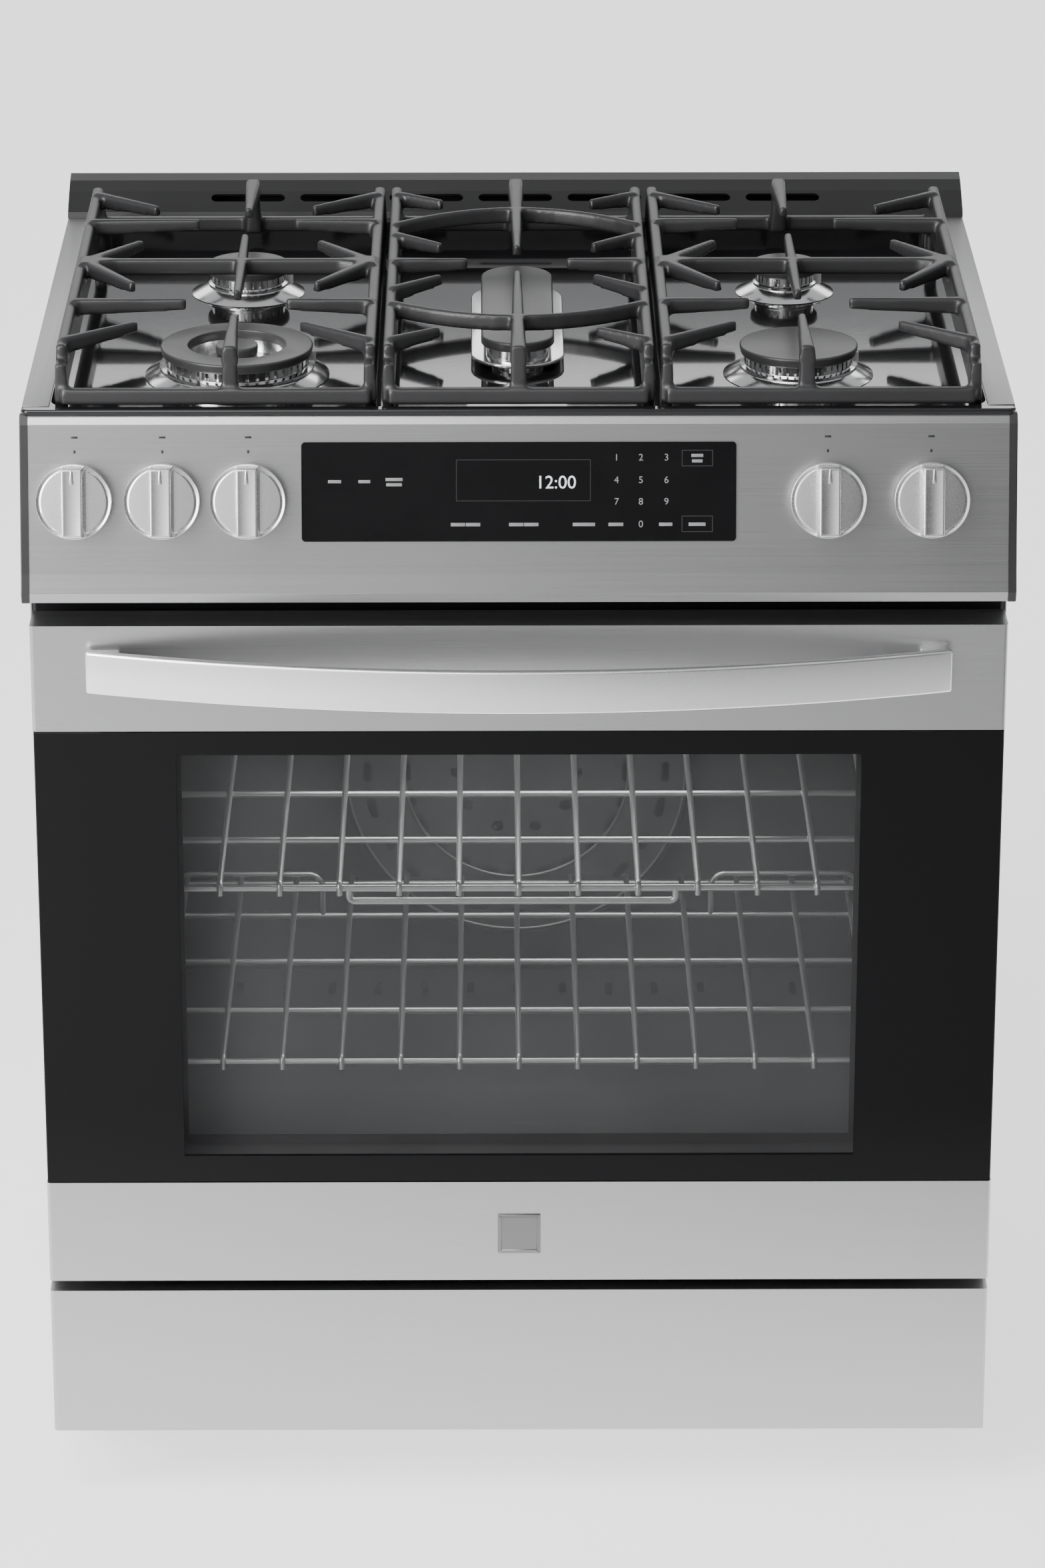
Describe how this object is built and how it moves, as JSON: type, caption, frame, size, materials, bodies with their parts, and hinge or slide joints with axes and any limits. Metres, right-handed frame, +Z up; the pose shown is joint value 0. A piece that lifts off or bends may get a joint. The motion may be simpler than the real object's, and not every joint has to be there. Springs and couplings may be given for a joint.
{
  "type": "freestanding gas range",
  "caption": "Freestanding gas range with cast grates, knobs and display on a sloped fascia, drop-down glass oven door, wire racks and a storage drawer.",
  "frame": {"origin": "on the floor under the middle of the range's overall box", "axes": "+X to the user's right, +Y to the back, +Z up; the door and drawer face -Y"},
  "size_m": [0.762, 0.7199, 0.96],
  "materials": {
    "painted_body": "satin grey paint",
    "black_enamel": "glossy black porcelain enamel",
    "steel": "horizontal brushed grain",
    "handle_steel": "fine brushed, bright",
    "knob_metal": "satin",
    "zinc_steel": "zinc plated sheet",
    "rack_wire": "bright wire",
    "grate_iron": "matte black enamelled cast iron",
    "burner_metal": "bright cast aluminium",
    "cap_enamel": "matte dark enamel",
    "brass": "turned",
    "regulator_metal": "die cast",
    "dark_plastic": "fine texture",
    "foot_plastic": "fine texture",
    "display_glass": "gloss black",
    "door_glass": "dark tinted",
    "clear_glass": "clear",
    "gasket": "braided glass fibre",
    "insulation": "glass wool batt"
  },
  "bodies": {
    "range_body": {"side_panel_left": "painted_body", "side_panel_right": "painted_body", "back_panel": "painted_body", "base_frame": "painted_body", "front_frame": "black_enamel", "oven_cavity": "black_enamel", "oven_floor": "black_enamel", "fan_cover": "black_enamel", "cooktop": "black_enamel", "vent_trim": "black_enamel", "control_fascia": "steel", "door_hinges": "zinc_steel", "drawer_rails": "zinc_steel", "flue_duct": "zinc_steel", "terminal_box": "zinc_steel", "burner_tubes": "zinc_steel", "gas_manifold": "zinc_steel", "oven_lamp": "zinc_steel", "fan_motor": "zinc_steel", "bake_burner": "zinc_steel", "broil_burner": "zinc_steel", "burner_heads": "burner_metal", "burner_caps": "cap_enamel", "gas_valves": "brass", "gas_regulator": "regulator_metal", "end_cap_left": "dark_plastic", "end_cap_right": "dark_plastic", "control_board": "dark_plastic", "display_glass": "display_glass", "door_gasket": "gasket", "oven_insulation": "insulation"},
    "oven_door": {"door_frame": "black_enamel", "door_top_band": "steel", "door_bottom_band": "steel", "door_glass": "door_glass", "door_inner_glass": "clear_glass", "door_liner": "black_enamel", "door_handle": "handle_steel"},
    "drawer": {"drawer_front": "steel", "drawer_box": "zinc_steel"},
    "rack_upper": {"rack_upper": "rack_wire"},
    "rack_lower": {"rack_lower": "rack_wire"},
    "grate_left": {"grate_left": "grate_iron"},
    "grate_center": {"grate_center": "grate_iron"},
    "grate_right": {"grate_right": "grate_iron"},
    "convection_fan": {"fan_blade": "zinc_steel"},
    "foot_front_left": {"foot_front_left": "foot_plastic"},
    "foot_front_right": {"foot_front_right": "foot_plastic"},
    "foot_rear_left": {"foot_rear_left": "foot_plastic"},
    "foot_rear_right": {"foot_rear_right": "foot_plastic"},
    "stem_left_outer": {"valve_stem_left_outer": "brass"},
    "knob_left_outer": {"knob_left_outer": "knob_metal"},
    "stem_left_middle": {"valve_stem_left_middle": "brass"},
    "knob_left_middle": {"knob_left_middle": "knob_metal"},
    "stem_left_inner": {"valve_stem_left_inner": "brass"},
    "knob_left_inner": {"knob_left_inner": "knob_metal"},
    "stem_right_inner": {"valve_stem_right_inner": "brass"},
    "knob_right_inner": {"knob_right_inner": "knob_metal"},
    "stem_right_outer": {"valve_stem_right_outer": "brass"},
    "knob_right_outer": {"knob_right_outer": "knob_metal"}
  },
  "joints": [
    {"name": "door_hinge", "type": "hinge", "parent": "range_body", "child": "oven_door", "pos_m": [0, -0.285, 0.213], "axis": [1, 0, 0], "range_deg": [0, 90], "stiffness_Nm_per_rad": 14, "springref_deg": -40.11},
    {"name": "drawer_slide", "type": "slide", "parent": "range_body", "child": "drawer", "axis": [0, -1, 0], "range_m": [0, 0.38]},
    {"name": "rack_upper_slide", "type": "slide", "parent": "range_body", "child": "rack_upper", "axis": [0, -1, 0], "range_m": [0, 0.02]},
    {"name": "rack_lower_slide", "type": "slide", "parent": "range_body", "child": "rack_lower", "axis": [0, -1, 0], "range_m": [0, 0.02]},
    {"name": "grate_left_lift", "type": "slide", "parent": "range_body", "child": "grate_left", "axis": [0, 0, 1], "range_m": [0, 0.08]},
    {"name": "grate_center_lift", "type": "slide", "parent": "range_body", "child": "grate_center", "axis": [0, 0, 1], "range_m": [0, 0.08]},
    {"name": "grate_right_lift", "type": "slide", "parent": "range_body", "child": "grate_right", "axis": [0, 0, 1], "range_m": [0, 0.08]},
    {"name": "fan_spin", "type": "hinge", "parent": "range_body", "child": "convection_fan", "pos_m": [0, 0.19, 0.454], "axis": [0, -1, 0], "continuous": true},
    {"name": "foot_front_left_screw", "type": "slide", "parent": "range_body", "child": "foot_front_left", "axis": [0, 0, -1], "range_m": [0, 0.02]},
    {"name": "foot_front_right_screw", "type": "slide", "parent": "range_body", "child": "foot_front_right", "axis": [0, 0, -1], "range_m": [0, 0.02]},
    {"name": "foot_rear_left_screw", "type": "slide", "parent": "range_body", "child": "foot_rear_left", "axis": [0, 0, -1], "range_m": [0, 0.02]},
    {"name": "foot_rear_right_screw", "type": "slide", "parent": "range_body", "child": "foot_rear_right", "axis": [0, 0, -1], "range_m": [0, 0.02]},
    {"name": "stem_left_outer_push", "type": "slide", "parent": "range_body", "child": "stem_left_outer", "axis": [0, 0.9711, -0.2387], "range_m": [0, 0.0025], "stiffness_N_per_m": 1500, "springref_m": -0.002},
    {"name": "knob_left_outer_turn", "type": "hinge", "parent": "stem_left_outer", "child": "knob_left_outer", "pos_m": [-0.339, -0.28048, 0.847], "axis": [0, 0.9711, -0.2387], "range_deg": [-210, 0]},
    {"name": "stem_left_middle_push", "type": "slide", "parent": "range_body", "child": "stem_left_middle", "axis": [0, 0.9711, -0.2387], "range_m": [0, 0.0025], "stiffness_N_per_m": 1500, "springref_m": -0.002},
    {"name": "knob_left_middle_turn", "type": "hinge", "parent": "stem_left_middle", "child": "knob_left_middle", "pos_m": [-0.272, -0.28048, 0.847], "axis": [0, 0.9711, -0.2387], "range_deg": [-210, 0]},
    {"name": "stem_left_inner_push", "type": "slide", "parent": "range_body", "child": "stem_left_inner", "axis": [0, 0.9711, -0.2387], "range_m": [0, 0.0025], "stiffness_N_per_m": 1500, "springref_m": -0.002},
    {"name": "knob_left_inner_turn", "type": "hinge", "parent": "stem_left_inner", "child": "knob_left_inner", "pos_m": [-0.2065, -0.28048, 0.847], "axis": [0, 0.9711, -0.2387], "range_deg": [-210, 0]},
    {"name": "stem_right_inner_push", "type": "slide", "parent": "range_body", "child": "stem_right_inner", "axis": [0, 0.9711, -0.2387], "range_m": [0, 0.0025], "stiffness_N_per_m": 1500, "springref_m": -0.002},
    {"name": "knob_right_inner_turn", "type": "hinge", "parent": "stem_right_inner", "child": "knob_right_inner", "pos_m": [0.236, -0.28048, 0.847], "axis": [0, 0.9711, -0.2387], "range_deg": [-210, 0]},
    {"name": "stem_right_outer_push", "type": "slide", "parent": "range_body", "child": "stem_right_outer", "axis": [0, 0.9711, -0.2387], "range_m": [0, 0.0025], "stiffness_N_per_m": 1500, "springref_m": -0.002},
    {"name": "knob_right_outer_turn", "type": "hinge", "parent": "stem_right_outer", "child": "knob_right_outer", "pos_m": [0.315, -0.28048, 0.847], "axis": [0, 0.9711, -0.2387], "range_deg": [-210, 0]}
  ]
}
